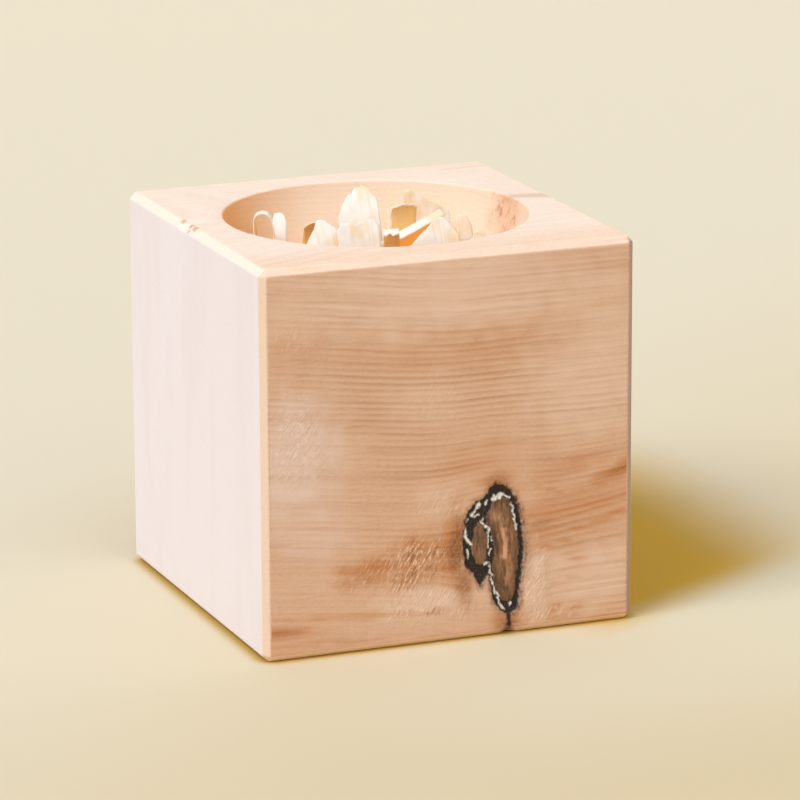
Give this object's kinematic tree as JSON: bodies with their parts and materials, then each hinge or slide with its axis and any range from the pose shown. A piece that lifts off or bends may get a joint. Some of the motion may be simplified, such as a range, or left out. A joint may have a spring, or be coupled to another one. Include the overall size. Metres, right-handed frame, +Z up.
{
  "type": "wooden cube",
  "caption": "Solid wooden cube with a round bowl milled into its top, holding a loose heap of pale wood shavings; a dark knot shows on one side.",
  "frame": {"origin": "middle of the cube's underside", "axes": "+Z up through the bowl; the side with the knot looks along -Y and the knot is towards +X on it"},
  "size_m": [0.1, 0.1, 0.1038],
  "materials": {
    "cube_wood": "planed and sanded, unfinished",
    "shaving_wood": "raw planed shavings"
  },
  "bodies": {
    "root": {"block": "cube_wood", "bottom_curl_1": "shaving_wood", "bottom_curl_2": "shaving_wood", "middle_curl_1": "shaving_wood", "middle_curl_2": "shaving_wood", "middle_curl_3": "shaving_wood", "wall_curl_1": "shaving_wood", "wall_curl_2": "shaving_wood", "wall_curl_3": "shaving_wood", "wall_curl_4": "shaving_wood", "wall_curl_5": "shaving_wood", "wall_curl_6": "shaving_wood", "rim_curl_1": "shaving_wood", "rim_curl_2": "shaving_wood", "arch_shaving": "shaving_wood", "leaf_shaving": "shaving_wood", "tent_shaving": "shaving_wood", "broad_shaving": "shaving_wood", "quill_shaving": "shaving_wood", "amber_shaving": "shaving_wood", "slanting_roll": "shaving_wood", "front_shaving": "shaving_wood", "centre_shaving": "shaving_wood", "small_curl": "shaving_wood", "right_chip": "shaving_wood", "low_chip": "shaving_wood", "back_flake": "shaving_wood", "low_flake": "shaving_wood", "far_flake": "shaving_wood", "side_flake": "shaving_wood", "right_flake": "shaving_wood", "near_flake": "shaving_wood", "lower_flake": "shaving_wood", "left_flake": "shaving_wood", "bridge_flake": "shaving_wood"}
  },
  "joints": []
}
